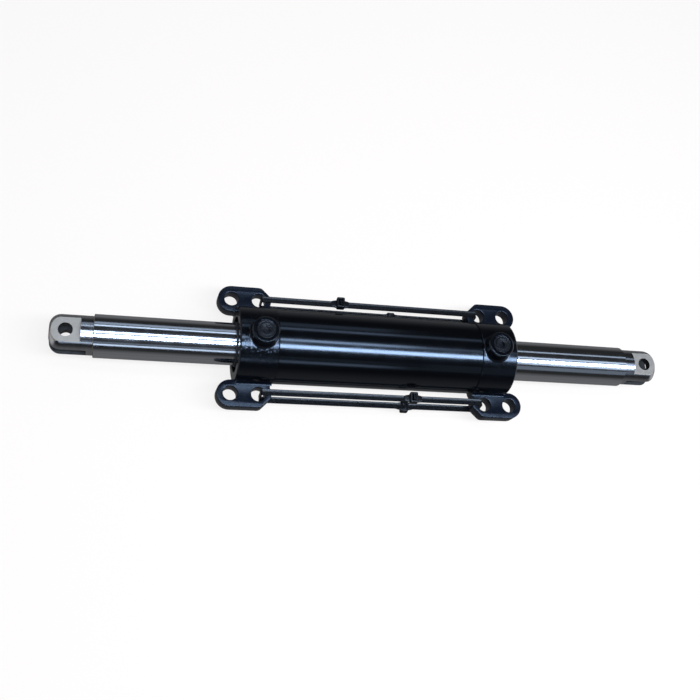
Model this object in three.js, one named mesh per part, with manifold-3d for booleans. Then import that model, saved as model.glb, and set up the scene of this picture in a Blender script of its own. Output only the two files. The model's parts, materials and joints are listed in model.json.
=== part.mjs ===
// Double-acting, through-rod hydraulic steering cylinder, in millimetres, +Z up.
// The rod's axis runs along X. Z = 0 is the surface that the two round heads rest on.
import * as THREE from 'three';
import { mergeVertices } from 'three/addons/utils/BufferGeometryUtils.js';
import Module from 'manifold-3d';

const wasm = await Module();
wasm.setup();

// ---------------------------------------------------------------- driving dimensions
const sides = 24;                 // facets round every piece turned about X, in one phase
const uprightSides = 20;          // facets round what is turned about Z
const runFit = 0.04;              // radial clearance of a sliding or pressed ring
const seat = 0.15;                // gap between touching faces, per side
const edge = 0.6;                 // broken edge on turned pieces

const tube = { bore: 36.5, outer: 44.5, half: 125 };
const rod = { radius: 25, half: 379 };
const head = { radius: 45.5, face: 170.4, spigotEnd: 100, rim: 1.6 };
const neck = { radius: 22.5, shoulder: 330.4, endRadius: 13 };
const clevis = { flat: 17.25, flatStart: 344.6, slot: 8, slotRoot: 338, pin: 361, pinRadius: 8 };
const ear = { top: -2.5, thickness: 17, holeY: 58.5, innerHole: 141.5, outerHole: 174.5,
  holeRadius: 8.5, endRadius: 16.25, innerEnd: 125.6, chamfer: 13, rounding: 3, waistX: 128.2,
  waistY: 48.5, rootY: 36 };
const port = { x: 143, top: 59.2, bossRadius: 16, bossRim: 1.5, bossRoot: 35, spotFace: 11,
  spotDepth: 1, mouth: 9.9, bore: 8.1, boreDepth: 15, drill: 5.5 };
const plug = { flange: 10.7, flangeHeight: 1.8, crown: 7.6, crownHeight: 1.1, length: 11,
  socket: 7, socketDepth: 6, groove: 2.9 };
const piston = { length: 39, radius: 36.15 };
const strap = { width: 7.6, thickness: 1.5, upright: 138.2, bend: 1.6 };
const lock = { length: 10, width: 12.5, height: 7 };

const spigotRadius = tube.bore - runFit;
const bushPocket = 27.5;
const feed = { count: 4, radius: 2.2, offset: 28.9 };
const sealPocket = 30;
const recessRadius = 33;
const rodPassage = rod.radius + 0.3;
const oRingGroove = { from: 108, to: 114, radius: 32.7 };
const relief = { from: 137, to: 148, radius: 29 };
const rodSealGroove = { from: 150, to: 157 };
const wiperPocket = { from: 158.5, to: 164 };
const clipGroove = { from: 16.6, to: 19.2, radius: 23.3 };
const pistonGroove = { seal: 3.2, sealRadius: 31.6, wearFrom: 8.5, wearTo: 14.5, wearRadius: 34 };
const axisHeight = head.radius;

// ---------------------------------------------------------------- materials
const finish = (color, roughness, metalness) =>
  () => new THREE.MeshStandardMaterial({ color, roughness, metalness });
const blackPaint = finish(0x0c0d12, 0.32, 0.0);
const castPaint = finish(0x0d0e12, 0.45, 0.0);
const chrome = finish(0xd8dade, 0.08, 1.0);
const steel = finish(0x8c8e90, 0.4, 1.0);
const rubber = finish(0x101010, 0.8, 0.0);
const polyurethane = finish(0x2a3f5a, 0.5, 0.0);
const acetal = finish(0xe6e2d6, 0.5, 0.0);
const bronze = finish(0x9a6f3c, 0.4, 1.0);
const nylon = finish(0x0b0b0d, 0.45, 0.0);
const springSteel = finish(0x2c2c2e, 0.45, 1.0);

// ---------------------------------------------------------------- solids and meshes
// A closed geometry as a boolean solid. Triangles that collapse on a lathe's axis are dropped.
function solidOf(geometry) {
  const bare = geometry.clone();
  bare.deleteAttribute('normal');
  bare.deleteAttribute('uv');
  const merged = mergeVertices(bare, 1e-4);
  const corners = merged.index.array;
  const triangles = [];
  for (let i = 0; i < corners.length; i += 3) {
    const [a, b, c] = corners.slice(i, i + 3);
    if (a !== b && b !== c && c !== a) triangles.push(a, b, c);
  }
  return new wasm.Manifold(new wasm.Mesh({
    numProp: 3,
    vertProperties: merged.attributes.position.array,
    triVerts: new Uint32Array(triangles),
  }));
}

function geometryOf(solid) {
  const mesh = solid.getMesh();
  const geometry = new THREE.BufferGeometry();
  geometry.setAttribute('position', new THREE.BufferAttribute(mesh.vertProperties, 3));
  geometry.setIndex(new THREE.BufferAttribute(mesh.triVerts, 1));
  geometry.computeVertexNormals();
  return geometry;
}

function piece(name, solid, material) {
  const mesh = new THREE.Mesh(geometryOf(solid), material());
  mesh.name = name;
  return mesh;
}

// A closed outline of [along, radius] points turned about the given axis. A facet, not an edge,
// faces each of the four sides, and the facets' middles lie on the stated radius.
function lathe(outline, count) {
  const scale = 1 / Math.cos(Math.PI / count);
  const points = outline.map(([along, radius]) => new THREE.Vector2(radius * scale, along));
  if (THREE.ShapeUtils.isClockWise(points)) points.reverse();
  points.push(points[0].clone());
  return new THREE.LatheGeometry(points, count, Math.PI / count);
}
const turnedX = (outline) => solidOf(lathe(outline, sides).rotateZ(-Math.PI / 2));
const turnedZ = (outline) => solidOf(lathe(outline, uprightSides).rotateX(Math.PI / 2));
const ringX = (from, to, inner, outer) =>
  turnedX([[from, inner], [from, outer], [to, outer], [to, inner]]);

// A rubber ring of rounded section that fills its groove between two radii.
function oRingX(middle, halfWidth, inner, outer) {
  const level = (inner + outer) / 2;
  return turnedX([
    [middle - halfWidth, level], [middle - halfWidth / 2, outer],
    [middle + halfWidth / 2, outer], [middle + halfWidth, level],
    [middle + halfWidth / 2, inner], [middle - halfWidth / 2, inner],
  ]);
}

function box(from, to) {
  const size = new THREE.Vector3().subVectors(to, from);
  const middle = new THREE.Vector3().addVectors(from, to).multiplyScalar(0.5);
  return solidOf(new THREE.BoxGeometry(size.x, size.y, size.z).translate(...middle));
}

function uprightHole(x, y, radius, from, to) {
  return turnedZ([[from, 0], [from, radius], [to, radius], [to, 0]]).translate([x, y, 0]);
}

// ---------------------------------------------------------------- tube
function tubeSolid() {
  const end = tube.half - seat;
  const leadIn = 1.5;
  return turnedX([
    [-end, tube.bore + 1], [-end, tube.outer - edge], [edge - end, tube.outer],
    [end - edge, tube.outer], [end, tube.outer - edge], [end, tube.bore + 1],
    [end - leadIn, tube.bore], [leadIn - end, tube.bore],
  ]);
}

// ---------------------------------------------------------------- head (right-hand end)
function earOutline() {
  const outer = ear.holeY + ear.endRadius;
  const shoulder = { x: ear.innerEnd, y: outer - ear.chamfer };
  const corner = { x: ear.innerEnd + ear.chamfer, y: outer };
  const slant = ear.rounding * Math.SQRT1_2;
  const outline = new THREE.Shape();
  outline.moveTo(ear.innerEnd, ear.rootY);
  outline.lineTo(ear.innerEnd, head.radius - 1);
  outline.lineTo(ear.waistX, ear.waistY);
  outline.lineTo(shoulder.x, shoulder.y - ear.rounding);
  outline.quadraticCurveTo(shoulder.x, shoulder.y, shoulder.x + slant, shoulder.y + slant);
  outline.lineTo(corner.x - slant, corner.y - slant);
  outline.quadraticCurveTo(corner.x, corner.y, corner.x + ear.rounding, corner.y);
  outline.absarc(ear.outerHole, ear.holeY, ear.endRadius, Math.PI / 2, -Math.PI / 2, true);
  outline.lineTo(head.face - 0.5, ear.holeY - ear.endRadius);
  outline.lineTo(head.face - 0.5, ear.rootY);
  return outline;
}

function earPlate() {
  const plate = new THREE.ExtrudeGeometry(earOutline(),
    { depth: ear.thickness, bevelEnabled: false, curveSegments: 9 });
  return solidOf(plate.translate(0, 0, ear.top - ear.thickness));
}

function headBody() {
  return turnedX([
    [head.spigotEnd, bushPocket], [head.spigotEnd, spigotRadius - 1.2],
    [head.spigotEnd + 1.2, spigotRadius],
    [oRingGroove.from, spigotRadius], [oRingGroove.from, oRingGroove.radius],
    [oRingGroove.to, oRingGroove.radius], [oRingGroove.to, spigotRadius],
    [tube.half + seat, spigotRadius], [tube.half + seat, head.radius - edge],
    [tube.half + seat + edge, head.radius], [head.face - head.rim, head.radius],
    [head.face, head.radius - head.rim], [head.face, recessRadius + edge],
    [head.face - edge, recessRadius], [wiperPocket.to, recessRadius],
    [wiperPocket.to, sealPocket], [wiperPocket.from, sealPocket],
    [wiperPocket.from, rodPassage], [rodSealGroove.to, rodPassage],
    [rodSealGroove.to, sealPocket], [rodSealGroove.from, sealPocket],
    [rodSealGroove.from, rodPassage], [relief.to, rodPassage], [relief.to, relief.radius],
    [relief.from, relief.radius], [relief.from, rodPassage], [relief.from - 4, rodPassage],
    [relief.from - 4, bushPocket],
  ]);
}

function portBoss() {
  return turnedZ([
    [port.bossRoot, 0], [port.bossRoot, port.bossRadius],
    [port.top - port.bossRim, port.bossRadius], [port.top, port.bossRadius - port.bossRim],
    [port.top, 0],
  ]).translate([port.x, 0, 0]);
}

// Threaded bore with a spot face for the plug's flange, a 45 degree mouth for its sealing ring
// and the drilling into the relief.
const portFloor = port.top - port.spotDepth;

function portBore() {
  return turnedZ([
    [port.top + 1, 0], [port.top + 1, port.spotFace], [portFloor, port.spotFace],
    [portFloor, port.mouth], [portFloor - port.mouth + port.bore, port.bore],
    [port.top - port.boreDepth, port.bore],
    [port.top - port.boreDepth - 2, port.drill], [relief.radius - 3, port.drill],
    [relief.radius - 3, 0],
  ]).translate([port.x, 0, 0]);
}

// Oil passage beside the bush, from the relief under the port to the pressure chamber.
function feedSlot(angle) {
  const from = head.spigotEnd - 1;
  const to = relief.from + 1;
  const slot = new THREE.CylinderGeometry(feed.radius, feed.radius, to - from, 8);
  slot.rotateZ(Math.PI / 2).translate((from + to) / 2, 0, feed.offset);
  return solidOf(slot.rotateX(angle));
}

function headSolid() {
  let solid = headBody().add(portBoss()).subtract(portBore());
  for (const side of [1, -1]) {
    const plate = side > 0 ? earPlate() : earPlate().mirror([0, 1, 0]);
    solid = solid.add(plate);
    for (const x of [ear.innerHole, ear.outerHole]) {
      const from = ear.top - ear.thickness - 1;
      solid = solid.subtract(uprightHole(x, side * ear.holeY, ear.holeRadius, from, ear.top + 1));
    }
  }
  for (let i = 0; i < feed.count; i += 1) {
    solid = solid.subtract(feedSlot(((i + 0.5) * 2 * Math.PI) / feed.count));
  }
  return solid;
}

// ---------------------------------------------------------------- seals and bush of one head
function wiperSolid() {
  const lip = rod.radius + runFit;
  return turnedX([
    [wiperPocket.from + 0.1, lip + 2], [wiperPocket.from + 0.1, sealPocket - runFit],
    [wiperPocket.to - 0.1, sealPocket - runFit], [wiperPocket.to - 0.1, lip + 3.4],
    [head.face + 0.6, lip + 1.4], [head.face + 1, lip],
    [wiperPocket.to + 1, lip], [wiperPocket.to - 1, lip + 1.2],
  ]);
}

// U-cup whose open side faces the pressure.
function rodSealSolid() {
  const inner = rod.radius + runFit;
  const outer = sealPocket - runFit;
  const middle = (inner + outer) / 2;
  const from = rodSealGroove.from + 0.1;
  const to = rodSealGroove.to - 1.7;
  return turnedX([
    [from, inner], [from, middle - 1], [from + 2.6, middle], [from, middle + 1],
    [from, outer], [to, outer], [to, inner],
  ]);
}

const rodBackupSolid = () => ringX(
  rodSealGroove.to - 1.5, rodSealGroove.to - 0.1, rod.radius + runFit, sealPocket - runFit);
const bushSolid = () => ringX(
  head.spigotEnd + 2, relief.from - 4.2, rod.radius + runFit, bushPocket - runFit);
const spigotORingSolid = () => oRingX(
  oRingGroove.from + 2, 1.8, oRingGroove.radius + runFit, tube.bore - runFit);
const spigotBackupSolid = () => ringX(
  oRingGroove.to - 1.8, oRingGroove.to - 0.2, oRingGroove.radius + runFit, tube.bore - runFit);

// ---------------------------------------------------------------- port plug
const plugShank = port.bore - 0.1;
const plugWaist = plugShank - edge;

function hexSocket(acrossFlats, from, to) {
  const radius = acrossFlats / Math.sqrt(3);
  const socket = new THREE.CylinderGeometry(radius, radius, to - from, 6);
  return solidOf(socket.rotateX(Math.PI / 2).translate(0, 0, (from + to) / 2));
}

function plugSolid() {
  const base = portFloor + seat;
  const flangeTop = base + plug.flangeHeight;
  const top = flangeTop + plug.crownHeight;
  const body = turnedZ([
    [base - plug.length, 0], [base - plug.length, plugShank - 1],
    [base - plug.length + 1, plugShank], [base - plug.groove, plugShank],
    [base - plug.groove, plugWaist], [base, plugWaist], [base, plug.flange],
    [flangeTop - 0.5, plug.flange], [flangeTop, plug.flange - 0.5], [flangeTop, plug.crown],
    [top - 0.4, plug.crown], [top, plug.crown - 0.4], [top, 0],
  ]);
  const lead = plug.socket / 2;
  const mouth = turnedZ([[top + 1, 0], [top + 1, lead + 1.8], [top - 0.8, lead], [top - 0.8, 0]]);
  return body.subtract(mouth).subtract(hexSocket(plug.socket, top - plug.socketDepth, top + 1));
}

// Rubber ring squeezed between the plug's waist, its flange and the port's conical mouth.
function plugRingSolid() {
  const top = portFloor - 0.1;
  const bottom = top - 1.2;
  const inner = plugWaist + 0.1;
  return turnedZ([
    [bottom, inner], [top, inner], [top, inner + 1.5], [bottom, inner + 0.7],
  ]);
}

// ---------------------------------------------------------------- rod with its two clevises
function rodProfile() {
  const arcSteps = 5;
  const centreX = rod.half - neck.endRadius;
  const centreR = neck.radius - neck.endRadius;
  const half = [[clipGroove.from, rod.radius], [clipGroove.from, clipGroove.radius],
    [clipGroove.to, clipGroove.radius], [clipGroove.to, rod.radius],
    [neck.shoulder - 0.8, rod.radius], [neck.shoulder, rod.radius - 0.8],
    [neck.shoulder + 0.6, neck.radius]];
  for (let i = 0; i <= arcSteps; i += 1) {
    const angle = (Math.PI / 2) * (1 - i / arcSteps);
    half.push([centreX + neck.endRadius * Math.cos(angle),
      centreR + neck.endRadius * Math.sin(angle)]);
  }
  half.push([rod.half, 0]);
  return [...half.map(([x, r]) => [-x, r]).reverse(), ...half];
}

function rodSolid() {
  let solid = turnedX(rodProfile());
  const wide = neck.radius + 2;
  const past = rod.half + 1;
  for (const side of [1, -1]) {
    const span = (x0, x1) => side > 0 ? [x0, x1] : [-x1, -x0];
    const [flat0, flat1] = span(clevis.flatStart, past);
    const [slot0, slot1] = span(clevis.slotRoot, past);
    const cuts = [
      box(new THREE.Vector3(flat0, -wide, clevis.flat), new THREE.Vector3(flat1, wide, wide)),
      box(new THREE.Vector3(flat0, -wide, -wide), new THREE.Vector3(flat1, wide, -clevis.flat)),
      box(new THREE.Vector3(slot0, -wide, -clevis.slot),
        new THREE.Vector3(slot1, wide, clevis.slot)),
      uprightHole(side * clevis.pin, 0, clevis.pinRadius, -wide, wide),
    ];
    for (const cut of cuts) solid = solid.subtract(cut);
  }
  return solid;
}

// ---------------------------------------------------------------- piston and its rings
const pistonBore = rod.radius + runFit;
const clipPocket = { from: clipGroove.from - 0.1, radius: 29.4 };
const bondGroove = { half: 2.3, radius: 28.4 };

function pistonSolid() {
  const end = piston.length / 2;
  const { seal, sealRadius, wearFrom, wearTo, wearRadius } = pistonGroove;
  const outer = [[seal, sealRadius], [seal, piston.radius], [wearFrom, piston.radius],
    [wearFrom, wearRadius], [wearTo, wearRadius], [wearTo, piston.radius],
    [end - 1, piston.radius], [end, piston.radius - 1]];
  const inner = [[end, clipPocket.radius], [clipPocket.from, clipPocket.radius],
    [clipPocket.from, pistonBore], [bondGroove.half, pistonBore],
    [bondGroove.half, bondGroove.radius]];
  const mirrored = (points) => points.map(([x, r]) => [-x, r]).reverse();
  return turnedX([...mirrored(outer), ...outer, ...inner, ...mirrored(inner)]);
}

const pistonORingSolid = () => oRingX(0, 2, pistonBore, bondGroove.radius - runFit);
const energiserSolid = () => oRingX(
  0, pistonGroove.seal - 0.3, pistonGroove.sealRadius + runFit, pistonGroove.sealRadius + 2.7);
const pistonSealSolid = () => ringX(1 - pistonGroove.seal, pistonGroove.seal - 1,
  pistonGroove.sealRadius + 2.8, tube.bore - runFit);
const wearRingSolid = () => ringX(pistonGroove.wearFrom + 0.1, pistonGroove.wearTo - 0.1,
  pistonGroove.wearRadius + runFit, tube.bore - runFit);

// Open retaining ring in the rod's groove; the gap is at the bottom.
function circlipSolid() {
  const inner = clipGroove.radius + 0.5;
  const outer = clipPocket.radius - 0.5;
  const half = Math.PI - 0.2;
  const outline = new THREE.Shape();
  outline.absarc(0, 0, outer, -half, half, false);
  outline.absarc(0, 0, inner, half, -half, true);
  const thickness = clipGroove.to - clipGroove.from - 0.2;
  const clip = new THREE.ExtrudeGeometry(outline,
    { depth: thickness, bevelEnabled: false, curveSegments: 16 });
  return solidOf(clip.rotateY(Math.PI / 2).translate(clipGroove.from + 0.1, 0, 0));
}

// ---------------------------------------------------------------- cable ties
// Two ties are chained into one loop on each side, through the inner ear holes of both heads.
// Strand heights are measured from the rod's axis; lean is how far the upper strand stands
// towards +Y of the lower one.
const strandTop = ear.top + 0.2 + strap.thickness / 2;
const strandBottom = ear.top - ear.thickness - 0.2 - strap.thickness / 2;
const loops = [
  { name: 'back', y: 57.4, lean: 4.8, topLock: -41, bottomLock: 30 },
  { name: 'front', y: -58.2, lean: 4, topLock: 48, bottomLock: 43 },
];

function strapOutline(topFrom, bottomFrom) {
  const half = strap.thickness / 2;
  const x = strap.upright - strap.bend;
  const top = strandTop - strap.bend;
  const bottom = strandBottom + strap.bend;
  const outline = new THREE.Shape();
  outline.moveTo(topFrom, strandTop + half);
  outline.absarc(x, top, strap.bend + half, Math.PI / 2, 0, true);
  outline.absarc(x, bottom, strap.bend + half, 0, -Math.PI / 2, true);
  outline.lineTo(bottomFrom, strandBottom - half);
  outline.lineTo(bottomFrom, strandBottom + half);
  outline.absarc(x, bottom, strap.bend - half, -Math.PI / 2, 0, false);
  outline.absarc(x, top, strap.bend - half, 0, Math.PI / 2, false);
  outline.lineTo(topFrom, strandTop - half);
  return outline;
}

// The locking block stands on the outer side of its strand, with the next tie's cut tail on it.
function lockSolid(x, strand, outward) {
  const inner = strand - outward * strap.thickness / 2;
  const outer = inner + outward * lock.height;
  const tail = outer + outward * 1.5;
  const block = (length, width, z0, z1) => box(
    new THREE.Vector3(x - length / 2, -width / 2, Math.min(z0, z1)),
    new THREE.Vector3(x + length / 2, width / 2, Math.max(z0, z1)));
  return block(lock.length, lock.width, inner, outer)
    .add(block(strap.thickness, strap.width - 0.6, outer - outward, tail));
}

// A tie seen from its own end of the cylinder: it starts at its lock and ends at the other's.
function tieSolid({ lockTop, topLock, bottomLock, lean }) {
  const reach = lock.length / 2 + seat;
  const topFrom = lockTop ? topLock : topLock + reach;
  const bottomFrom = lockTop ? bottomLock + reach : bottomLock;
  const strapGeometry = new THREE.ExtrudeGeometry(strapOutline(topFrom, bottomFrom),
    { depth: strap.width, bevelEnabled: false, curveSegments: 3 });
  strapGeometry.rotateX(Math.PI / 2).translate(0, strap.width / 2, 0);
  const lockBody = lockTop
    ? lockSolid(topLock, strandTop, 1)
    : lockSolid(bottomLock, strandBottom, -1);
  const slope = lean / (strandTop - strandBottom);
  const tie = geometryOf(solidOf(strapGeometry).add(lockBody));
  tie.translate(0, 0, -(strandTop + strandBottom) / 2);
  tie.applyMatrix4(new THREE.Matrix4().makeShear(0, 0, 0, 0, 0, slope));
  tie.translate(0, 0, (strandTop + strandBottom) / 2);
  return solidOf(tie);
}

function tiesOf(loop) {
  const right = piece(`tie_${loop.name}_right`, tieSolid({ lockTop: true,
    topLock: loop.topLock, bottomLock: loop.bottomLock, lean: loop.lean }), nylon);
  const left = piece(`tie_${loop.name}_left`, tieSolid({ lockTop: false,
    topLock: -loop.topLock, bottomLock: -loop.bottomLock, lean: -loop.lean }), nylon);
  left.rotation.z = Math.PI;
  for (const tie of [right, left]) tie.position.y = loop.y;
  return [right, left];
}

// ---------------------------------------------------------------- assembly
const cylinder = new THREE.Group();
cylinder.position.z = axisHeight;

cylinder.add(piece('tube', tubeSolid(), blackPaint));
for (const side of ['right', 'left']) {
  const end = new THREE.Group();
  if (side === 'left') end.rotation.z = Math.PI;
  const portPlug = piece(`port_plug_${side}`, plugSolid(), nylon);
  const sealRing = piece(`port_seal_ring_${side}`, plugRingSolid(), rubber);
  for (const mesh of [portPlug, sealRing]) mesh.position.x = port.x;
  end.add(
    piece(`head_${side}`, headSolid(), castPaint),
    piece(`wiper_${side}`, wiperSolid(), rubber),
    piece(`rod_seal_${side}`, rodSealSolid(), polyurethane),
    piece(`rod_backup_ring_${side}`, rodBackupSolid(), acetal),
    piece(`guide_bush_${side}`, bushSolid(), bronze),
    piece(`spigot_o_ring_${side}`, spigotORingSolid(), rubber),
    piece(`spigot_backup_ring_${side}`, spigotBackupSolid(), acetal),
    portPlug, sealRing,
  );
  cylinder.add(end);
}
for (const loop of loops) cylinder.add(...tiesOf(loop));

const movingRod = new THREE.Group();
movingRod.add(
  piece('through_rod', rodSolid(), chrome),
  piece('piston', pistonSolid(), steel),
  piece('piston_o_ring', pistonORingSolid(), rubber),
  piece('piston_seal', pistonSealSolid(), polyurethane),
  piece('piston_energiser', energiserSolid(), rubber),
);
for (const side of ['right', 'left']) {
  const end = new THREE.Group();
  if (side === 'left') end.rotation.z = Math.PI;
  end.add(
    piece(`piston_wear_ring_${side}`, wearRingSolid(), acetal),
    piece(`piston_circlip_${side}`, circlipSolid(), springSteel),
  );
  movingRod.add(end);
}
cylinder.add(movingRod);

export default cylinder;
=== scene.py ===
"""Looks of the through-rod hydraulic steering cylinder, in metres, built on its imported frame.

The rod's axis runs along X. Right-hand pieces are shaped first, and a left-hand piece is the
same shape turned half a turn about the upright axis, as on the real cylinder.
"""
import json
import math

import bmesh
import bpy
from mathutils import Matrix, Vector
from mathutils.geometry import tessellate_polygon


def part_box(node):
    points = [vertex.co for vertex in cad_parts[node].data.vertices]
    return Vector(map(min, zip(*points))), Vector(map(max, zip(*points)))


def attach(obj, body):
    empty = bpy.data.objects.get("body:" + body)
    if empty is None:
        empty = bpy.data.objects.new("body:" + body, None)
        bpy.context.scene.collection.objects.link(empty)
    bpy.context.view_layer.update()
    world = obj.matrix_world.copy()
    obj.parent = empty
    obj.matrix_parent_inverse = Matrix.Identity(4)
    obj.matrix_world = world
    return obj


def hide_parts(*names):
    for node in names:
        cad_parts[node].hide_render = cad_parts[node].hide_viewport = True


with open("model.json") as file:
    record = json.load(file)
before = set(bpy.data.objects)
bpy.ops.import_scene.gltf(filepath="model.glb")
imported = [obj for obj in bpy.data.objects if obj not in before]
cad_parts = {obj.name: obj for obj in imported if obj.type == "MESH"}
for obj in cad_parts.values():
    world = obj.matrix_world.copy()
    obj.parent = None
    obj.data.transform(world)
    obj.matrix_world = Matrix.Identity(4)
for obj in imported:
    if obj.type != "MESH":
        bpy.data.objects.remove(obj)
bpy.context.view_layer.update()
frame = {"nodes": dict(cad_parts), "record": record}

MM = 0.001
TURN = 2 * math.pi
QUARTER = math.pi / 2

# ---------------------------------------------------------------- sizes read from the frame
tube_low, tube_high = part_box("tube")
head_low, head_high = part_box("head_right")
plug_low, plug_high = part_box("port_plug_right")
mounts = {m["name"]: Vector(m["pos_m"]) for m in frame["record"]["mounts"]}

AXIS_Z = (tube_low[2] + tube_high[2]) / 2
TUBE_HALF = tube_high[0]
TUBE_RADIUS = tube_high[2] - AXIS_Z
ROD_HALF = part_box("through_rod")[1][0]
ROD_RADIUS = 25 * MM
HEAD_RADIUS = AXIS_Z
HEAD_START = TUBE_HALF + 0.3 * MM
HEAD_FACE = 170.4 * MM
HEAD_RIM = 1.6 * MM
SPIGOT_END = head_low[0]
SPIGOT_RADIUS = 36.46 * MM
WIPER_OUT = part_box("wiper_right")[1][0]

EAR_BOTTOM = mounts["ear_seat_right_back"].z - AXIS_Z
EAR_TOP = EAR_BOTTOM + 17 * MM
EAR_HOLE_Y = mounts["ear_seat_right_back"].y
EAR_MIDDLE = mounts["ear_seat_right_back"].x
EAR_HOLES = (EAR_MIDDLE - 16.5 * MM, EAR_MIDDLE + 16.5 * MM)
EAR_HOLE_RADIUS = 8.5 * MM
EAR_EDGE = head_high[1]
EAR_END_RADIUS = EAR_EDGE - EAR_HOLE_Y
EAR_INNER_END = 125.6 * MM
EAR_CHAMFER = 13 * MM
EAR_WAIST = (128.2 * MM, 48.5 * MM)
EAR_ROOT = 36 * MM

PORT_X = (plug_low[0] + plug_high[0]) / 2
BOSS_TOP = mounts["port_face_right"].z - AXIS_Z
BOSS_RADIUS = 16 * MM
BOSS_RIM = 1.5 * MM
SPOT_RADIUS, SPOT_DEPTH = 11 * MM, 1 * MM
PORT_MOUTH, PORT_RADIUS = 9.9 * MM, 8.1 * MM
PLUG_TOP = plug_high[2] - AXIS_Z
PLUG_BOTTOM = plug_low[2] - AXIS_Z
FLANGE_RADIUS = (plug_high[0] - plug_low[0]) / 2

FLAT = mounts["clevis_pin_seat_right"].z - AXIS_Z
SLOT = mounts["clevis_upper_cheek_right"].z - AXIS_Z
FLAT_START = 344.6 * MM
SLOT_ROOT = 338 * MM
NECK_START = 330.4 * MM
NECK_RADIUS = 22.5 * MM
END_RADIUS = 13 * MM
PIN_X = 361 * MM
PIN_RADIUS = 8 * MM

STRAP_WIDTH = 7.6 * MM
STRAP_HALF = 0.75 * MM
STRAP_UPRIGHT = 138.2 * MM
STRAP_BEND = 1.6 * MM
STRAND_TOP = EAR_TOP + 0.95 * MM
STRAND_BOTTOM = EAR_BOTTOM - 0.95 * MM
LOCK_LENGTH, LOCK_WIDTH, LOCK_HEIGHT = 10 * MM, 12.5 * MM, 7 * MM

HALF_TURN = Matrix.Rotation(math.pi, 4, "Z")
TO_AXIS = Matrix.Translation((0, 0, AXIS_Z))


# ---------------------------------------------------------------- mesh tools
def arc(cx, cy, radius, start, end, steps):
    """Points of an arc, angles in radians, both ends included."""
    angles = [start + (end - start) * i / steps for i in range(steps + 1)]
    return [(cx + radius * math.cos(a), cy + radius * math.sin(a)) for a in angles]


def softened(outline, radius, steps=3):
    """A closed outline with each corner rounded, less where its sides are short. A point close
    to each end of the rounding keeps the shading of a long side even."""
    points = [Vector(p) for p in outline]
    result = []
    for i, corner in enumerate(points):
        before = points[i - 1] - corner
        after = points[(i + 1) % len(points)] - corner
        cut = min(radius, 0.45 * before.length, 0.45 * after.length)
        beyond = 1.5 * cut
        first = corner + before.normalized() * cut
        last = corner + after.normalized() * cut
        result.append(tuple(corner + before.normalized() * min(beyond, 0.49 * before.length)))
        for step in range(steps + 1):
            t = step / steps
            result.append(tuple(first * (1 - t) ** 2 + corner * 2 * t * (1 - t) + last * t * t))
        result.append(tuple(corner + after.normalized() * min(beyond, 0.49 * after.length)))
    return result


def set_back(outline, inset):
    """A closed outline moved inwards by inset."""
    points = [Vector(p) for p in outline]
    following = points[1:] + points[:1]
    area = sum(a.x * b.y - b.x * a.y for a, b in zip(points, following))
    result = []
    for before, point, after in zip(points[-1:] + points[:-1], points, following):
        onward = (after - point).normalized()
        along = ((point - before).normalized() + onward).normalized()
        square = Vector((-along.y, along.x)) * math.copysign(inset, area)
        result.append(tuple(point + square / max(along.dot(onward), 0.5)))
    return result


def piece_from(name, bm, material):
    """A piece of the object from a bmesh, smooth except at its real edges."""
    bmesh.ops.recalc_face_normals(bm, faces=bm.faces)
    mesh = bpy.data.meshes.new(name)
    bm.to_mesh(mesh)
    bm.free()
    mesh.polygons.foreach_set("use_smooth", [True] * len(mesh.polygons))
    mesh.set_sharp_from_angle(angle=math.radians(35))
    mesh.materials.append(material)
    obj = bpy.data.objects.new(name, mesh)
    bpy.context.scene.collection.objects.link(obj)
    return obj


def add_turned(bm, outline, steps=128, upright=False):
    """Adds a closed outline of (along, radius) points turned about X, or about Z if upright."""
    rings = []
    for i in range(steps):
        angle = TURN * i / steps
        c, s = math.cos(angle), math.sin(angle)
        ring = []
        for along, radius in outline:
            place = (radius * c, radius * s, along) if upright else (along, radius * s, radius * c)
            ring.append(bm.verts.new(place))
        rings.append(ring)
    count = len(outline)
    for i, ring in enumerate(rings):
        following = rings[(i + 1) % steps]
        for j in range(count):
            k = (j + 1) % count
            bm.faces.new((ring[j], ring[k], following[k], following[j]))


def add_plate(bm, outline_at, holes_at, low, high, edge, steps=3):
    """Adds a flat plate with rounded edges. outline_at and each of holes_at give a loop of
    (x, y) points for a distance set back from the edge."""
    loops_at = [outline_at] + list(holes_at)
    levels = []
    for i in range(steps + 1):
        angle = QUARTER * i / steps
        levels.append((edge * (1 - math.sin(angle)), low + edge * (1 - math.cos(angle))))
    levels += [(inset, low + high - z) for inset, z in reversed(levels)]
    stacks = []
    for loop_at in loops_at:
        stack = [[bm.verts.new((x, y, z)) for x, y in loop_at(inset)] for inset, z in levels]
        for lower, upper in zip(stack, stack[1:]):
            for j in range(len(lower)):
                k = (j + 1) % len(lower)
                bm.faces.new((lower[j], lower[k], upper[k], upper[j]))
        stacks.append(stack)
    for end in (0, -1):
        loops = [stack[end] for stack in stacks]
        corners = [v for loop in loops for v in loop]
        for triangle in tessellate_polygon([[v.co for v in loop] for loop in loops]):
            bm.faces.new([corners[i] for i in triangle])


def add_prism(bm, section, start, end):
    """Adds a bar of the (y, z) section along X."""
    ends = [[bm.verts.new((x, y, z)) for y, z in section] for x in (start, end)]
    for j in range(len(section)):
        k = (j + 1) % len(section)
        bm.faces.new((ends[0][j], ends[0][k], ends[1][k], ends[1][j]))
    for cap in ends:
        bm.faces.new(cap)


def add_block(bm, low, high):
    """Adds a small box between two corners."""
    size = [h - l for l, h in zip(low, high)]
    middle = [(l + h) / 2 for l, h in zip(low, high)]
    place = Matrix.Translation(middle) @ Matrix.Diagonal((*size, 1))
    bmesh.ops.create_cube(bm, size=1, matrix=place)


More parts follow.
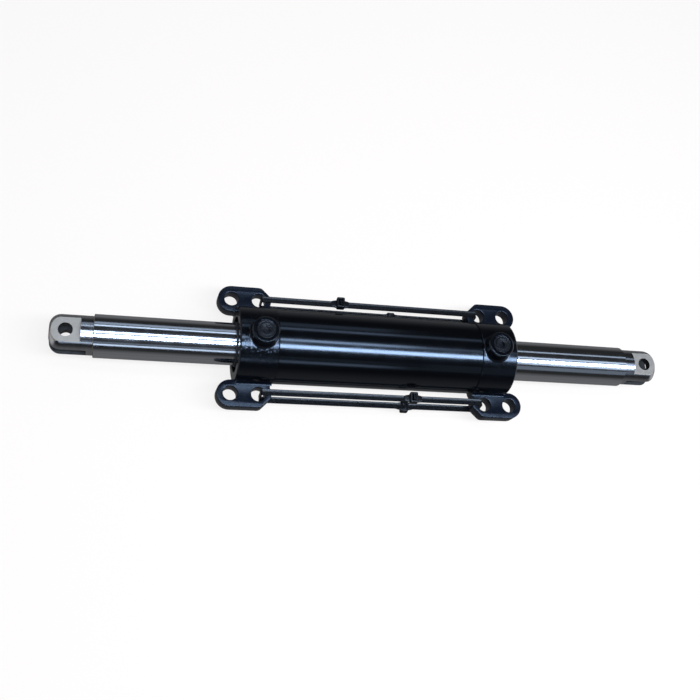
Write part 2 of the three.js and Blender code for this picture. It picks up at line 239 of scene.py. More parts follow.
def tool(name, build):
    """A hidden cutter for boolean cuts."""
    bm = bmesh.new()
    build(bm)
    bmesh.ops.recalc_face_normals(bm, faces=bm.faces)
    mesh = bpy.data.meshes.new(name)
    bm.to_mesh(mesh)
    bm.free()
    mesh.polygons.foreach_set("use_smooth", [True] * len(mesh.polygons))
    obj = bpy.data.objects.new(name, mesh)
    bpy.context.scene.collection.objects.link(obj)
    return obj


def carved(obj, cutters, bevel):
    """Cuts the tools out of obj, breaks its edges, shades its flats evenly, and removes the
    tools."""
    for cutter in cutters:
        cut = obj.modifiers.new("cut", "BOOLEAN")
        cut.operation = "DIFFERENCE"
        cut.solver = "EXACT"
        cut.object = cutter
    edges = obj.modifiers.new("edges", "BEVEL")
    edges.width = bevel
    edges.segments = 2
    edges.limit_method = "ANGLE"
    edges.angle_limit = math.radians(30)
    flats = obj.modifiers.new("flats", "WEIGHTED_NORMAL")
    flats.weight = 100
    flats.keep_sharp = True
    graph = bpy.context.evaluated_depsgraph_get()
    mesh = bpy.data.meshes.new_from_object(obj.evaluated_get(graph))
    obj.modifiers.clear()
    obj.data = mesh
    for cutter in cutters:
        bpy.data.objects.remove(cutter)
    return obj


# ---------------------------------------------------------------- materials
BLUISH = (0.74, 0.85, 1.0, 1)


class NodeGraph:
    """Short ways to add nodes to a material or to the room."""

    def __init__(self, tree):
        self.nodes = tree.nodes
        self.links = tree.links

    def ranged(self, value, low, high, start=0.0, end=1.0):
        node = self.nodes.new("ShaderNodeMapRange")
        node.inputs["From Min"].default_value = low
        node.inputs["From Max"].default_value = high
        node.inputs["To Min"].default_value = start
        node.inputs["To Max"].default_value = end
        self.links.new(value, node.inputs["Value"])
        return node.outputs["Result"]

    def math(self, operation, *values):
        node = self.nodes.new("ShaderNodeMath")
        node.operation = operation
        for socket, value in zip(node.inputs, values):
            self.links.new(value, socket)
        return node.outputs["Value"]


class Finish(NodeGraph):
    """A procedural material whose patterns are fixed to the piece, in metres."""

    def __init__(self, name, **sockets):
        self.material = bpy.data.materials.new(name)
        self.material.use_nodes = True
        super().__init__(self.material.node_tree)
        self.shader = self.nodes["Principled BSDF"]
        self.place = self.nodes.new("ShaderNodeTexCoord").outputs["Object"]
        for socket, value in sockets.items():
            self.shader.inputs[socket.replace("_", " ")].default_value = value

    def noise(self, scale, detail=3.0, stretch=(1, 1, 1), rough=0.5, turn=0.0):
        """Noise drawn out along the axes by stretch, after a turn about the upright axis."""
        mapping = self.nodes.new("ShaderNodeMapping")
        mapping.inputs["Scale"].default_value = stretch
        mapping.inputs["Rotation"].default_value = (0, 0, turn)
        self.links.new(self.place, mapping.inputs["Vector"])
        texture = self.nodes.new("ShaderNodeTexNoise")
        texture.inputs["Scale"].default_value = scale
        texture.inputs["Detail"].default_value = detail
        texture.inputs["Roughness"].default_value = rough
        self.links.new(mapping.outputs["Vector"], texture.inputs["Vector"])
        return texture.outputs["Fac"]

    def away_from(self, point, near, far):
        """1 within near of the point, and 0 beyond far."""
        node = self.nodes.new("ShaderNodeVectorMath")
        node.operation = "DISTANCE"
        node.inputs[1].default_value = point
        self.links.new(self.place, node.inputs[0])
        return self.ranged(node.outputs["Value"], near, far, 1.0, 0.0)

    def colour(self, factor, first, second):
        node = self.nodes.new("ShaderNodeMix")
        node.data_type = "RGBA"
        node.inputs["A"].default_value = (*first, 1)
        node.inputs["B"].default_value = (*second, 1)
        self.links.new(factor, node.inputs["Factor"])
        self.links.new(node.outputs["Result"], self.shader.inputs["Base Color"])

    def roughness(self, factor, low, high):
        self.links.new(self.ranged(factor, 0.3, 0.7, low, high), self.shader.inputs["Roughness"])

    def bump(self, height, distance, strength=1.0):
        node = self.nodes.new("ShaderNodeBump")
        node.inputs["Distance"].default_value = distance
        node.inputs["Strength"].default_value = strength
        self.links.new(height, node.inputs["Height"])
        if self.shader.inputs["Normal"].is_linked:
            under = self.shader.inputs["Normal"].links[0].from_socket
            self.links.new(under, node.inputs["Normal"])
        self.links.new(node.outputs["Normal"], self.shader.inputs["Normal"])


def barrel_paint():
    """Sprayed black enamel over a drawn tube: fine orange peel, faint long draw lines, dust."""
    paint = Finish("barrel_paint", Specular_IOR_Level=0.68, Specular_Tint=BLUISH)
    cloud = paint.noise(60, 4)
    dust = paint.ranged(paint.noise(900, 2), 0.75, 0.79)
    paint.colour(dust, (0.0012, 0.0013, 0.0016), (0.03, 0.033, 0.037))
    paint.roughness(cloud, 0.13, 0.17)
    paint.bump(paint.noise(500, 2), 0.003 * MM)
    paint.bump(paint.noise(500, 2, stretch=(0.01, 1, 1)), 0.003 * MM)
    return paint.material


def head_paint(name, boss, brushed):
    """The same enamel over a casting. It is brushed on round the port boss, thickly on one."""
    paint = Finish(name, Specular_IOR_Level=0.5, Specular_Tint=BLUISH)
    near = paint.away_from(boss, 24 * MM, 42 * MM)
    strokes = paint.noise(520, 2, stretch=(1, 0.22, 1), rough=0.5, turn=0.7)
    ridges = paint.ranged(strokes, 0.5, 0.62)
    paint.colour(paint.noise(120, 4), (0.0012, 0.0013, 0.0018), (0.0028, 0.003, 0.004))
    paint.roughness(paint.noise(150, 4), 0.12, 0.2)
    paint.bump(paint.noise(600, 3), 0.008 * MM)
    paint.bump(paint.math("MULTIPLY", ridges, near), brushed)
    return paint.material


def ear_paint():
    """Enamel on the flat ears, a little duller than on the round."""
    paint = Finish("ear_paint", Specular_IOR_Level=0.42, Specular_Tint=BLUISH)
    paint.colour(paint.noise(45, 4), (0.002, 0.0028, 0.0055), (0.0035, 0.0048, 0.009))
    paint.roughness(paint.noise(110, 4), 0.22, 0.30)
    paint.bump(paint.noise(500, 3), 0.002 * MM)
    return paint.material


def rod_chrome():
    """Ground and polished hard chrome, with fine lengthwise waviness in its reflections and painted
    reflection streaked along its length in its colour.
    """
    metal = Finish("rod_chrome", Metallic=1.0)
    # The lengthwise light and dark streaks in the colour are painted reflection of the long lamps.
    metal.colour(metal.noise(700, 2, stretch=(0.003, 1, 1)), (0.60, 0.61, 0.63), (0.80, 0.81, 0.82))
    metal.roughness(metal.noise(60, 3), 0.11, 0.145)
    metal.bump(metal.noise(170, 2, stretch=(0.003, 1, 1)), 0.006 * MM)
    return metal.material


def turned_steel():
    """Lathe-turned steel of the necks: fine rings round the axis."""
    metal = Finish("turned_steel", Metallic=1.0)
    metal.colour(metal.noise(200, 2, stretch=(1, 0.1, 0.1)), (0.42, 0.42, 0.43), (0.60, 0.60, 0.61))
    metal.roughness(metal.noise(300, 3), 0.14, 0.22)
    metal.bump(metal.noise(1500, 1, stretch=(1, 0.02, 0.02)), 0.010 * MM)
    return metal.material


def milled_steel(name, dark, light):
    """Milled flats, slots and drilled holes: satin, with faint cutter marks."""
    metal = Finish(name, Metallic=1.0)
    metal.colour(metal.noise(160, 4), dark, light)
    metal.roughness(metal.noise(400, 3), 0.42, 0.56)
    metal.bump(metal.noise(1400, 2, stretch=(1, 0.08, 1)), 0.02 * MM)
    return metal.material


def moulded_nylon(name, dark, light, low, high):
    """Black moulded plastic with a fine grain and scuffs."""
    plastic = Finish(name, Specular_IOR_Level=0.35)
    plastic.colour(plastic.noise(180, 4), dark, light)
    plastic.roughness(plastic.noise(240, 4), low, high)
    plastic.bump(plastic.noise(1500, 2), 0.0015 * MM)
    return plastic.material


def rubber(name, dark, light):
    """Moulded seal material with bloom and a fine grain."""
    soft = Finish(name)
    soft.colour(soft.noise(140, 4), dark, light)
    soft.roughness(soft.noise(200, 3), 0.5, 0.75)
    soft.bump(soft.noise(1800, 2), 0.02 * MM)
    return soft.material


def inner_metal(name, dark, light, low, high):
    """Turned inner pieces, with rings round the rod's axis."""
    metal = Finish(name, Metallic=1.0)
    metal.colour(metal.noise(90, 4), dark, light)
    metal.roughness(metal.noise(200, 3), low, high)
    metal.bump(metal.noise(1200, 1, stretch=(1, 0.03, 0.03)), 0.015 * MM)
    return metal.material


# ---------------------------------------------------------------- tube
def tube_piece(material):
    """The plain tube, with its ends' edges broken."""
    bore = 36.5 * MM
    bm = bmesh.new()
    outline = [(-TUBE_HALF, bore), (-TUBE_HALF, TUBE_RADIUS), (TUBE_HALF, TUBE_RADIUS),
               (TUBE_HALF, bore)]
    add_turned(bm, softened(outline, 0.7 * MM), 192)
    bm.transform(TO_AXIS)
    return piece_from("tube_skin", bm, material)


# ---------------------------------------------------------------- heads
def ear_outline(inset):
    """The ear's edge on the +Y side, set back by inset. It starts and ends inside the head."""
    bevelled = [
        (EAR_INNER_END, EAR_ROOT), (EAR_INNER_END, EAR_WAIST[1] - 4 * MM), EAR_WAIST,
        (EAR_INNER_END, EAR_EDGE - EAR_CHAMFER), (EAR_INNER_END + EAR_CHAMFER, EAR_EDGE)]
    round_end = arc(EAR_HOLES[1], EAR_HOLE_Y, EAR_END_RADIUS, QUARTER, -QUARTER, 20)
    inside = HEAD_FACE - 0.5 * MM
    back = [(inside, EAR_EDGE - 2 * EAR_END_RADIUS), (inside, EAR_ROOT)]
    return set_back(softened(bevelled + round_end + back, 3 * MM), inset)


def round_hole(x, y, radius):
    """The edge of a hole, which widens where the plate's edge is rounded."""
    return lambda inset: arc(x, y, radius + inset, 0, TURN * 47 / 48, 47)


def add_ear_fillets(bm):
    """Concave fillets where the ear's two faces run into the round of the head."""
    radius = 2.5 * MM
    for face, up in ((EAR_TOP, 1), (EAR_BOTTOM, -1)):
        height = face + up * radius
        y = math.sqrt((HEAD_RADIUS + radius) ** 2 - height ** 2)
        start = -up * QUARTER
        touch = math.atan2(-height, -y)
        if touch * up > start * up:
            touch -= up * TURN
        section = arc(y, height, radius, start, touch, 8)
        section.append((y - 4 * MM, face - up * 1.5 * MM))
        add_prism(bm, section, EAR_INNER_END + 0.4 * MM, HEAD_FACE - 2.4 * MM)


def add_boss_fillet(bm, radius=2.2 * MM, steps=72, rows=5):
    """A small fillet of paint and metal round the foot of the port boss."""
    def ground(distance, angle):
        return math.sqrt(HEAD_RADIUS ** 2 - (distance * math.sin(angle)) ** 2)
    rings = []
    for i in range(steps):
        angle = TURN * i / steps
        foot = ground(BOSS_RADIUS, angle)
        top = Vector((BOSS_RADIUS, foot + radius))
        corner = Vector((BOSS_RADIUS, foot))
        out = Vector((BOSS_RADIUS + radius, ground(BOSS_RADIUS + radius, angle)))
        under = Vector((BOSS_RADIUS - 1 * MM, foot - 2 * MM))
        curve = []
        for row in range(rows + 1):
            t = row / rows
            curve.append(top * (1 - t) ** 2 + corner * 2 * t * (1 - t) + out * t * t)
        ring = [bm.verts.new((PORT_X + p.x * math.cos(angle), p.x * math.sin(angle), p.y))
                for p in curve + [under]]
        rings.append(ring)
    count = rows + 2
    for i, ring in enumerate(rings):
        following = rings[(i + 1) % steps]
        for j in range(count):
            k = (j + 1) % count
            bm.faces.new((ring[j], ring[k], following[k], following[j]))


def head_outline():
    """Section of the head: spigot, flange, wiper recess, seal grooves and bush pocket."""
    passage = ROD_RADIUS + 0.3 * MM
    bush = 27.5 * MM
    pocket = 30 * MM
    recess = 33 * MM
    ring_groove = 32.7 * MM
    return softened([
        (SPIGOT_END, bush), (SPIGOT_END, SPIGOT_RADIUS), (108 * MM, SPIGOT_RADIUS),
        (108 * MM, ring_groove), (114 * MM, ring_groove), (114 * MM, SPIGOT_RADIUS),
        (HEAD_START, SPIGOT_RADIUS), (HEAD_START, HEAD_RADIUS),
        (HEAD_FACE - HEAD_RIM, HEAD_RADIUS), (HEAD_FACE, HEAD_RADIUS - HEAD_RIM),
        (HEAD_FACE, recess + 0.7 * MM), (HEAD_FACE - 0.7 * MM, recess), (164 * MM, recess),
        (164 * MM, pocket), (158.5 * MM, pocket), (158.5 * MM, passage), (157 * MM, passage),
        (157 * MM, pocket), (150 * MM, pocket), (150 * MM, passage), (133 * MM, passage),
        (133 * MM, bush)], 0.7 * MM)


def boss_outline():
    """Section of the port boss: its rim, the spot face for the plug and the port's mouth."""
    foot = 40 * MM
    spot_face = BOSS_TOP - SPOT_DEPTH
    return softened([
        (foot, PORT_RADIUS), (foot, BOSS_RADIUS), (BOSS_TOP - BOSS_RIM, BOSS_RADIUS),
        (BOSS_TOP, BOSS_RADIUS - BOSS_RIM), (BOSS_TOP, SPOT_RADIUS), (spot_face, SPOT_RADIUS),
        (spot_face, PORT_MOUTH), (spot_face - PORT_MOUTH + PORT_RADIUS, PORT_RADIUS)], 0.4 * MM)


def head_piece(side, round_paint, flat_paint):
    """The head's round body, port boss and two eared flanges, as one piece."""
    body = bmesh.new()
    add_turned(body, head_outline(), 160)
    add_boss_fillet(body)
    boss = bmesh.new()
    add_turned(boss, boss_outline(), 96, upright=True)
    boss.transform(Matrix.Translation((PORT_X, 0, 0)))
    ears = bmesh.new()
    holes = [round_hole(x, EAR_HOLE_Y, EAR_HOLE_RADIUS) for x in EAR_HOLES]
    add_plate(ears, ear_outline, holes, EAR_BOTTOM, EAR_TOP, 0.9 * MM)
    add_ear_fillets(ears)
    mirrored = ears.copy()
    mirrored.transform(Matrix.Scale(-1, 4, (0, 1, 0)))
    parts = [piece_from("part", bm, paint) for bm, paint in (
        (body, round_paint), (boss, round_paint), (ears, flat_paint), (mirrored, flat_paint))]
    return joined(f"head_{side}_skin", parts, side)


def joined(name, parts, side):
    """One piece from several, placed on its side of the cylinder."""
    with bpy.context.temp_override(active_object=parts[0], selected_editable_objects=parts):
        bpy.ops.object.join()
    whole = parts[0]
    whole.name = name
    whole.data.name = name
    whole.data.transform(TO_AXIS @ (HALF_TURN if side == "left" else Matrix.Identity(4)))
    return whole


# ---------------------------------------------------------------- wipers and plugs
def wiper_piece(side, material):
    """The wiper's ring, and the lip that stands out of the head along the rod."""
    lip = ROD_RADIUS + 0.04 * MM
    start, end = 158.6 * MM, 163.9 * MM
    outer = 29.96 * MM
    outline = [(start, lip + 2 * MM), (start, outer), (end, outer), (end, lip + 3.4 * MM),
               (WIPER_OUT - 0.4 * MM, lip + 1.4 * MM), (WIPER_OUT, lip), (165 * MM, lip),
               (163 * MM, lip + 1.2 * MM)]
    bm = bmesh.new()
    add_turned(bm, softened(outline, 0.3 * MM), 128)
    return joined(f"wiper_{side}_skin", [piece_from("part", bm, material)], side)


def plug_piece(side, material):
    """Hexagon-socket port plug: flange, groove, raised crown and dished socket mouth."""
    flange_top = PLUG_TOP - 1.1 * MM
    flange_base = flange_top - 1.8 * MM
    shank = PORT_RADIUS - 0.1 * MM
    groove = flange_top - 0.35 * MM
    outline = [
        (PLUG_BOTTOM, 0.2 * MM), (PLUG_BOTTOM, shank), (flange_base, shank),
        (flange_base, FLANGE_RADIUS), (flange_top, FLANGE_RADIUS), (flange_top, 9.7 * MM),
        (groove, 9.4 * MM), (groove, 7.6 * MM), (PLUG_TOP, 7.6 * MM), (PLUG_TOP, 6.5 * MM),
        (PLUG_TOP - 0.25 * MM, 6.3 * MM), (PLUG_TOP - 0.25 * MM, 5.4 * MM),
        (PLUG_TOP - 1.2 * MM, 4.2 * MM), (PLUG_TOP - 1.2 * MM, 0.2 * MM)]
    bm = bmesh.new()
    add_turned(bm, softened(outline, 0.25 * MM), 96, upright=True)
    bmesh.ops.holes_fill(bm, edges=bm.edges)
    plug = piece_from("part", bm, material)
    socket = tool("socket", lambda cutter: bmesh.ops.create_cone(
        cutter, cap_ends=True, segments=6, radius1=7 * MM / math.sqrt(3),
        radius2=7 * MM / math.sqrt(3), depth=10 * MM,
        matrix=Matrix.Translation((0, 0, PLUG_TOP - 1 * MM))))
    carved(plug, [socket], 0.12 * MM)
    plug.data.transform(Matrix.Translation((PORT_X, 0, 0)))
    return joined(f"port_plug_{side}_skin", [plug], side)


# ---------------------------------------------------------------- rod
CHROME, TURNED, MILLED, SHADED = range(4)


def rod_surface(centre, normal):
    """Which finish a face of the rod has, from where it is and which way it faces."""
    x, y, z = abs(centre.x), centre.y, centre.z
    if x < NECK_START - 0.3 * MM:
        return CHROME
    from_axis = math.hypot(y, z)
    faces_out = normal.dot(Vector((0, y, z)).normalized()) > 0.9
    outside = faces_out and from_axis > NECK_RADIUS - 0.5 * MM
    in_pin_hole = math.hypot(x - PIN_X, y) < PIN_RADIUS + 0.1 * MM and abs(normal.z) < 0.5
    in_slot = abs(z) < SLOT + 0.1 * MM and not outside
    # Faces inside the slot and the pin holes take the near-black finish, which is painted shade.
    if in_pin_hole or in_slot:
        return SHADED
    level = normal.z ** 2 > 0.999 or abs(abs(z) - FLAT) < MM
    rounded_end = x > FLAT_START and from_axis > SLOT and not level
    return TURNED if outside or rounded_end else MILLED


def rod_piece(*finishes):
    """The rod with its necks and forks. The finishes are those that rod_surface numbers."""
    core = 0.5 * MM
    half = [(NECK_START - 1.2 * MM, ROD_RADIUS), (NECK_START, ROD_RADIUS),
            (NECK_START + 0.6 * MM, NECK_RADIUS), (NECK_START + 1.8 * MM, NECK_RADIUS)]
    half += arc(ROD_HALF - END_RADIUS, NECK_RADIUS - END_RADIUS, END_RADIUS, QUARTER, 0, 10)
    half.append((ROD_HALF, core))
    outline = [(-x, r) for x, r in reversed(half)] + half
    bm = bmesh.new()
    add_turned(bm, outline, 160)
    rod = piece_from("through_rod_skin", bm, finishes[CHROME])
    wide, past = NECK_RADIUS + 3 * MM, ROD_HALF + 2 * MM

    def cutters(side):
        def span(start):
            return sorted((side * start, side * past))
        flat, slot = span(FLAT_START), span(SLOT_ROOT)
        yield tool("flat", lambda b: add_block(b, (flat[0], -wide, FLAT), (flat[1], wide, wide)))
        yield tool("flat", lambda b: add_block(b, (flat[0], -wide, -wide), (flat[1], wide, -FLAT)))
        yield tool("slot", lambda b: add_block(b, (slot[0], -wide, -SLOT), (slot[1], wide, SLOT)))
        yield tool("pin", lambda b: bmesh.ops.create_cone(
            b, cap_ends=True, segments=64, radius1=PIN_RADIUS, radius2=PIN_RADIUS,
            depth=2 * wide, matrix=Matrix.Translation((side * PIN_X, 0, 0))))
    carved(rod, [c for side in (1, -1) for c in cutters(side)], 0.35 * MM)
    for finish in finishes[1:]:
        rod.data.materials.append(finish)
    for face in rod.data.polygons:
        face.material_index = rod_surface(face.center, face.normal)
    rod.data.transform(TO_AXIS)
    return rod


# ---------------------------------------------------------------- cable ties
def strap_path(top_from, bottom_from):
    """Middle line of a strap in X and height: along the top, round through the ear hole and
    back along the bottom."""
    x = STRAP_UPRIGHT - STRAP_BEND

    def run(start, end, height):
        count = max(2, round(abs(end - start) / (8 * MM)))
        return [(start + (end - start) * i / count, height) for i in range(count)]
    return (run(top_from, x, STRAND_TOP)
            + arc(x, STRAND_TOP - STRAP_BEND, STRAP_BEND, QUARTER, 0, 6)
            + arc(x, STRAND_BOTTOM + STRAP_BEND, STRAP_BEND, 0, -QUARTER, 6)
            + list(reversed(run(bottom_from, x, STRAND_BOTTOM))))


def add_strap(bm, path):
    """Sweeps the strap's section, raised along both edges, along its path."""
    w, t = STRAP_WIDTH / 2, STRAP_HALF
    outer = [(-w, 0.5 * t), (-w + 0.35 * MM, t), (-w + 1.1 * MM, t), (-w + 1.5 * MM, 0.72 * t),
             (w - 1.5 * MM, 0.72 * t), (w - 1.1 * MM, t), (w - 0.35 * MM, t), (w, 0.5 * t)]
    inner = [(y, -n) for y, n in reversed(outer)]
    section = outer + inner
    rings = []
    for i, (x, z) in enumerate(path):
        before, after = path[max(i - 1, 0)], path[min(i + 1, len(path) - 1)]
        along = Vector((after[0] - before[0], after[1] - before[1])).normalized()
        normal = Vector((-along.y, along.x))
        rings.append([bm.verts.new((x + normal.x * n, y, z + normal.y * n)) for y, n in section])
    for ring, following in zip(rings, rings[1:]):
        for j in range(len(section)):
            k = (j + 1) % len(section)
            bm.faces.new((ring[j], ring[k], following[k], following[j]))
    for cap in (rings[0], rings[-1]):
        bm.faces.new(cap)


def add_teeth(bm, start, end, height, inward):
    """The ratchet: a row of small ridges on the inner face of one strand."""
    pitch, length, half = 1.3 * MM, 0.7 * MM, 2.1 * MM
    base = height + inward * 0.6 * STRAP_HALF
    crest = base + inward * 0.385 * STRAP_HALF
    for i in range(int((end - start) / pitch)):
        x = start + i * pitch
        levels = sorted((base, crest))
        add_block(bm, (x, -half, levels[0]), (x + length, half, levels[1]))


def add_lock(bm, x, strand, outward):
    """The locking block with its slot, the tapered necks on both sides of it, the pawl, and the
    trimmed tail of the next tie standing in the slot."""
    inner = strand - outward * STRAP_HALF
    outer = inner + outward * LOCK_HEIGHT

    def rectangle(length, width, corner):
        def at(inset):
            a, b, r = length / 2 - inset, width / 2 - inset, max(corner - inset, 0.2 * MM)
            points = []
            for sx, sy, start in ((1, 1, 0), (-1, 1, 1), (-1, -1, 2), (1, -1, 3)):
                points += arc(x + sx * (a - r), sy * (b - r), r, start * QUARTER,
                              (start + 1) * QUARTER, 4)
            return points
        return at

    outline = rectangle(LOCK_LENGTH, LOCK_WIDTH, 1.6 * MM)
    slot_inside = rectangle(4.2 * MM, 8.4 * MM, 0.5 * MM)
    low, high = sorted((inner, outer))
    add_plate(bm, outline, [lambda inset: slot_inside(-inset)], low, high, 0.6 * MM)
    tail_low, tail_high = sorted((inner, outer + outward * 1.4 * MM))
    tail = 0.7 * MM
    add_block(bm, (x - tail - 0.6 * MM, -STRAP_WIDTH / 2 + 0.4 * MM, tail_low),
              (x + tail - 0.6 * MM, STRAP_WIDTH / 2 - 0.4 * MM, tail_high))
    tip, shoulder, narrow, wide = 11.5 * MM, 3 * MM, 3.6 * MM, 5.2 * MM
    neck = [(x - tip, -narrow), (x - shoulder, -wide), (x + shoulder, -wide), (x + tip, -narrow),
            (x + tip, narrow), (x + shoulder, wide), (x - shoulder, wide), (x - tip, narrow)]
    neck_low, neck_high = sorted((inner + outward * 0.3 * MM, inner + outward * 2.6 * MM))
    add_plate(bm, lambda inset: set_back(softened(neck, 2 * MM), inset), [], neck_low, neck_high,
              0.9 * MM)
    pawl_low, pawl_high = sorted((inner + outward * 1.5 * MM, outer - outward * 1.2 * MM))
    add_block(bm, (x + 0.9 * MM, -3.2 * MM, pawl_low), (x + 2 * MM, 3.2 * MM, pawl_high))


def tie_piece(loop, side, material):
    """Two ties make each loop. The right one locks on the top strand, the left one below."""
    name, y, lean, top_lock, bottom_lock = loop
    mirror = 1 if side == "right" else -1
    top_at, bottom_at = mirror * top_lock, mirror * bottom_lock
    reach = LOCK_LENGTH / 2 + 0.2 * MM
    lock_on_top = side == "right"
    top_from = top_at if lock_on_top else top_at + reach
    bottom_from = bottom_at + reach if lock_on_top else bottom_at
    straight_end = STRAP_UPRIGHT - 3 * MM
    bm = bmesh.new()
    add_strap(bm, strap_path(top_from, bottom_from))
    add_teeth(bm, top_from + LOCK_LENGTH, straight_end, STRAND_TOP, -1)
    add_teeth(bm, bottom_from + LOCK_LENGTH, straight_end, STRAND_BOTTOM, 1)
    add_lock(bm, top_at if lock_on_top else bottom_at,
             STRAND_TOP if lock_on_top else STRAND_BOTTOM, 1 if lock_on_top else -1)
    middle = (STRAND_TOP + STRAND_BOTTOM) / 2
    slope = mirror * lean / (STRAND_TOP - STRAND_BOTTOM)
    for vert in bm.verts:
        vert.co.y += slope * (vert.co.z - middle)
    bm.transform(Matrix.Translation((0, mirror * y, 0)))
    return joined(f"tie_{name}_{side}_skin", [piece_from("part", bm, material)], side)


# ---------------------------------------------------------------- putting the object together
# Each loop's Y, how far its top strand leans out, and the X of its upper and lower locks.
LOOPS = (
    ("back", 57.4 * MM, 4.8 * MM, -41 * MM, 30 * MM),
    ("front", -58.2 * MM, 4 * MM, 48 * MM, 43 * MM),
)
SIDES = ("right", "left")
BRUSHED = {"right": 0.015 * MM, "left": 0.11 * MM}


def place(piece, body, slot, *nodes):
    """Puts a piece on its body in place of the CAD nodes that it shows."""
    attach(piece, body)
    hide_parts(*nodes)


def dress(node, material):
    """Gives a carried-over node a procedural material."""
    mesh = frame["nodes"][node].data
    mesh.materials.clear()
    mesh.materials.append(material)


def build_cylinder():
    place(tube_piece(barrel_paint()), "barrel", "barrel_paint", "tube")
    flat_paint = ear_paint()
    plug_nylon = moulded_nylon(
        "plug_nylon", (0.004, 0.0045, 0.006), (0.008, 0.0085, 0.011), 0.24, 0.32)
    tie_nylon = moulded_nylon(
        "tie_nylon", (0.002, 0.002, 0.0027), (0.004, 0.004, 0.005), 0.25, 0.34)
    black_rubber = rubber("seal_rubber", (0.010, 0.010, 0.010), (0.022, 0.022, 0.022))
    for side in SIDES:
        boss = Vector((PORT_X if side == "right" else -PORT_X, 0, AXIS_Z + HEAD_RADIUS))
        paint = head_paint(f"head_paint_{side}", boss, BRUSHED[side])
        place(head_piece(side, paint, flat_paint), "barrel", "head_paint", f"head_{side}")
        place(plug_piece(side, plug_nylon), "barrel", "plug_nylon", f"port_plug_{side}")
        place(wiper_piece(side, black_rubber), "barrel", "seal_rubber", f"wiper_{side}")
        for loop in LOOPS:
            place(tie_piece(loop, side, tie_nylon), "barrel", "tie_nylon",
                  f"tie_{loop[0]}_{side}")
    milled = milled_steel("milled_steel", (0.40, 0.345, 0.285), (0.50, 0.435, 0.365))
    # The slot's cheeks and the pin holes get a near-black steel as painted shade, where the forks'
    # lugs shade them.
    shaded = milled_steel("slot_painted_shade", (0.05, 0.048, 0.046), (0.10, 0.097, 0.092))
    rod = rod_piece(rod_chrome(), turned_steel(), milled, shaded)
    place(rod, "rod", "rod_chrome", "through_rod")
    dress_inner_pieces(black_rubber)


def dress_inner_pieces(black_rubber):
    """Procedural materials for the CAD nodes that stay: the piston and the inner rings."""
    looks = {
        "seal_rubber": black_rubber,
        "seal_polyurethane": rubber("seal_polyurethane", (0.03, 0.06, 0.14), (0.05, 0.09, 0.19)),
        "ring_acetal": rubber("ring_acetal", (0.70, 0.67, 0.60), (0.80, 0.77, 0.70)),
        "bush_bronze": inner_metal(
            "bush_bronze", (0.38, 0.22, 0.09), (0.52, 0.33, 0.15), 0.25, 0.4),
        "machined_steel": inner_metal(
            "machined_steel", (0.38, 0.38, 0.39), (0.5, 0.5, 0.51), 0.25, 0.4),
        "spring_steel": inner_metal(
            "spring_steel", (0.04, 0.04, 0.045), (0.08, 0.08, 0.085), 0.35, 0.5),
    }
    for part in frame["record"]["subparts"]:
        if part["material_slot"] in looks:
            dress(part["node"], looks[part["material_slot"]])


# ---------------------------------------------------------------- studio
LAMP_DISTANCE = 1.6
DAYLIGHT = (0.62, 0.77, 1.0)
ROOM_RADIUS = 8
PALE = (0.94, 0.94, 0.94)
FLOOR_PAPER = (0.19, 0.142, 0.11)
FLOOR_GLOW = 0.8

# Each lamp's angle and spread in degrees, its start and end in X, and its radiance.
LAMPS = (
    ("lamp_key", -15.5, 10, -0.7, 1.7, 24),
    ("lamp_between", -4.5, 10.5, -0.7, 1.7, 0.3),
    ("lamp_top_left", 4, 6.5, -0.7, 0.55, 8),
    ("lamp_top_right", 4, 6.5, 0.55, 1.7, 1.3),
    ("lamp_side_right", -28, 15, 0.9, 1.7, 1.0),
    ("lamp_back_left", 40, 7, -0.7, 0.5, 1.7),
    ("lamp_back_right", 40, 7, 0.5, 1.7, 0.8),
    ("lamp_window_left", 55, 13, -0.7, 0.5, 0.5),
    ("lamp_low_left", -50, 8, -0.7, 0.5, 0.2),
    ("lamp_low_right", -56, 22, 0.6, 1.7, 0.2),
    ("lamp_front_left", -62, 8, -0.7, 0.5, 1.4),
)


def strip_light(name, angle, spread, start, end, radiance):
    """A long lamp over the rod, from start to end in X. Its angle is from straight up, towards
    +Y, and its spread is the angle that it fills as the rod sees it, both in degrees."""
    tilt = math.radians(angle)
    width, length = LAMP_DISTANCE * math.radians(spread), end - start
    light = bpy.data.lights.new(name, "AREA")
    light.shape = "RECTANGLE"
    light.size = length
    light.size_y = width
    light.color = DAYLIGHT
    light.energy = radiance * math.pi * width * length
    lamp = bpy.data.objects.new(name, light)
    lamp.location = ((start + end) / 2, LAMP_DISTANCE * math.sin(tilt),
                     AXIS_Z + LAMP_DISTANCE * math.cos(tilt))
    lamp.rotation_euler = (-tilt, 0, 0)
    bpy.context.scene.collection.objects.link(lamp)


def stage_material(name, colour, glow, near, far):
    """Pale matte paper, faintly lit from behind, that turns into an even glow from near to
    far."""
    paper = Finish(name, Base_Color=(*colour, 1), Roughness=0.9, Emission_Color=(1, 1, 1, 1),
                   Emission_Strength=glow)
    even = paper.nodes.new("ShaderNodeEmission")
    even.inputs["Color"].default_value = (*PALE, 1)
    mix = paper.nodes.new("ShaderNodeMixShader")
    output = paper.nodes["Material Output"]
    paper.links.new(paper.away_from((0, 0, 0), near, far), mix.inputs["Fac"])
    paper.links.new(even.outputs["Emission"], mix.inputs[1])
    paper.links.new(paper.shader.outputs["BSDF"], mix.inputs[2])
    paper.links.new(mix.outputs["Shader"], output.inputs["Surface"])
    return paper.material


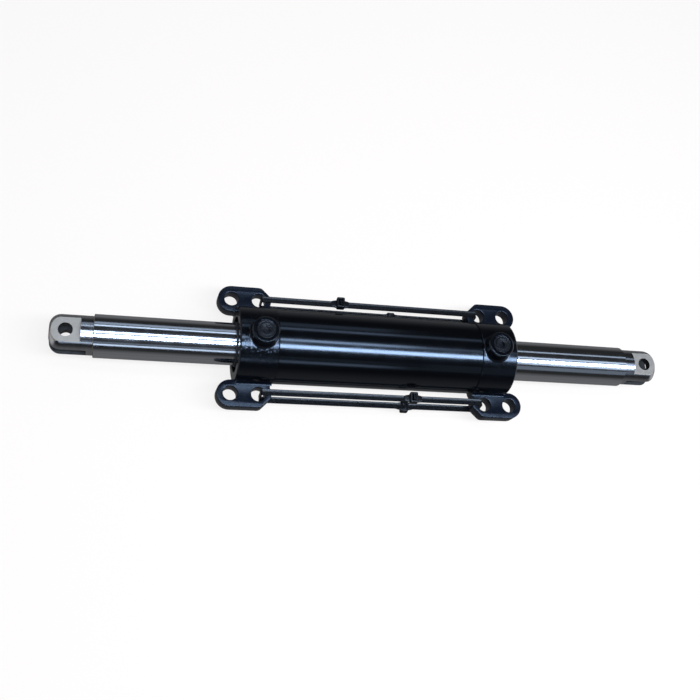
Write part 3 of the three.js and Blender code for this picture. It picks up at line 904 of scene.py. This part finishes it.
def build_stage():
    """A pale round floor, which reflections and bounced light leave out, under a pale dome."""
    bm = bmesh.new()
    bmesh.ops.create_circle(bm, cap_ends=True, segments=96, radius=ROOM_RADIUS)
    floor = piece_from("floor", bm, stage_material("floor", FLOOR_PAPER, FLOOR_GLOW, 0.9, 1.8))
    floor.visible_glossy = False
    floor.visible_diffuse = False
    bm = bmesh.new()
    bmesh.ops.create_uvsphere(bm, u_segments=64, v_segments=32, radius=ROOM_RADIUS)
    backdrop = piece_from("backdrop", bm, stage_material("backdrop", PALE, 0.0, 0.1, 0.2))
    for flag in ("diffuse", "glossy", "transmission", "shadow"):
        setattr(backdrop, f"visible_{flag}", False)


def build_lights():
    """The lamps, in a dim room whose lower half and two ends are brighter."""
    for lamp in LAMPS:
        strip_light(*lamp)
    world = bpy.data.worlds.new("room")
    world.use_nodes = True
    room = NodeGraph(world.node_tree)
    place = room.nodes.new("ShaderNodeTexCoord")
    split = room.nodes.new("ShaderNodeSeparateXYZ")
    room.links.new(place.outputs["Generated"], split.inputs["Vector"])
    by_height = room.ranged(split.outputs["Z"], -0.3, 0.1, 0.155, 0.024)
    ends = room.ranged(room.math("ABSOLUTE", split.outputs["X"]), 0.66, 0.86, 0.0, 0.55)
    background = room.nodes["Background"]
    background.inputs["Color"].default_value = (0.98, 1.0, 1.05, 1)
    room.links.new(room.math("MAXIMUM", by_height, ends), background.inputs["Strength"])
    bpy.context.scene.world = world


def build_camera():
    """A long lens from in front, above and to the left, held with a strong roll."""
    location = Vector((-0.3187, -0.3572, AXIS_Z + 1.0462))
    target = Vector((-0.0302, 0.0014, AXIS_Z))
    camera = bpy.data.cameras.new("camera")
    camera.sensor_width = 36
    camera.lens = 48.48
    camera.clip_start = 0.01
    obj = bpy.data.objects.new("camera", camera)
    aim = (target - location).to_track_quat("-Z", "Y").to_matrix().to_4x4()
    roll = Matrix.Rotation(math.radians(39.78), 4, "Z")
    obj.matrix_world = Matrix.Translation(location) @ aim @ roll
    bpy.context.scene.collection.objects.link(obj)
    bpy.context.scene.camera = obj


bpy.context.scene.view_settings.view_transform = "Standard"
build_camera()
build_cylinder()
build_stage()
build_lights()
